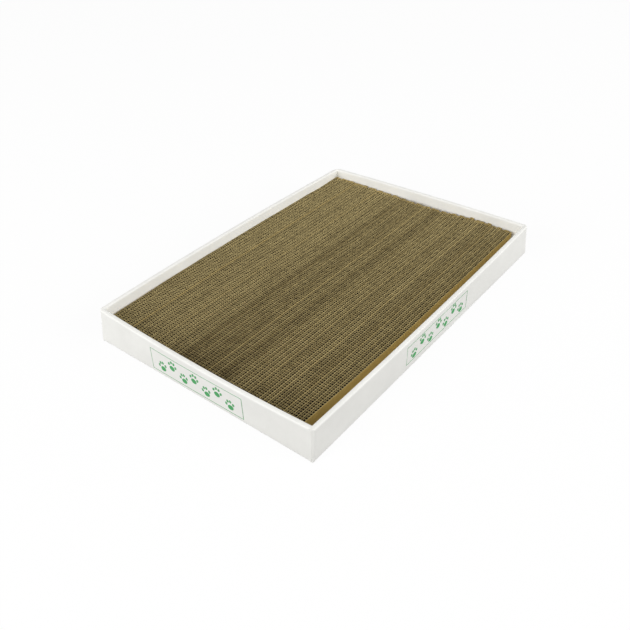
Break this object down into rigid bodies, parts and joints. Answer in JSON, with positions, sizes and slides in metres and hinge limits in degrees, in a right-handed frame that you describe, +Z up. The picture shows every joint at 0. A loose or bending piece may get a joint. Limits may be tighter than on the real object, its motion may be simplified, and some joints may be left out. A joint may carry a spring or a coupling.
{
  "type": "cardboard cat scratcher",
  "caption": "Flat cat scratcher: a shallow white folded-board tray with rolled rims, holding a loose lift-out pad of upright corrugated cardboard strips.",
  "frame": {"origin": "centre of the tray's underside, on the surface that it stands on", "axes": "+X along the long side towards the back wall, +Y towards the left long wall that the pad lies against, +Z up"},
  "size_m": [0.5, 0.35, 0.045],
  "materials": {
    "white_board": "white-lined board with a smooth satin paper face",
    "kraft_board": "raw brown kraft paper with cut flute edges"
  },
  "bodies": {
    "tray": {"tray_floor": "white_board", "right_wall": "white_board", "left_wall": "white_board", "front_wall": "white_board", "back_wall": "white_board", "front_right_flap": "white_board", "front_left_flap": "white_board", "back_left_flap": "white_board", "back_right_flap": "white_board"},
    "pad": {"strip_pair_01": "kraft_board", "strip_pair_02": "kraft_board", "strip_pair_03": "kraft_board", "strip_pair_04": "kraft_board", "strip_pair_05": "kraft_board", "strip_pair_06": "kraft_board", "strip_pair_07": "kraft_board", "strip_pair_08": "kraft_board", "strip_pair_09": "kraft_board", "strip_pair_10": "kraft_board", "strip_pair_11": "kraft_board", "strip_pair_12": "kraft_board", "strip_pair_13": "kraft_board", "strip_pair_14": "kraft_board", "strip_pair_15": "kraft_board", "strip_pair_16": "kraft_board", "strip_pair_17": "kraft_board", "strip_pair_18": "kraft_board", "strip_pair_19": "kraft_board", "strip_pair_20": "kraft_board", "strip_pair_21": "kraft_board", "strip_pair_22": "kraft_board", "strip_pair_23": "kraft_board", "strip_pair_24": "kraft_board", "strip_pair_25": "kraft_board", "strip_pair_26": "kraft_board", "strip_pair_27": "kraft_board", "strip_pair_28": "kraft_board"}
  },
  "joints": [
    {"name": "pad_lift", "type": "slide", "parent": "tray", "child": "pad", "axis": [0, 0, 1], "range_m": [0, 0.06]}
  ]
}
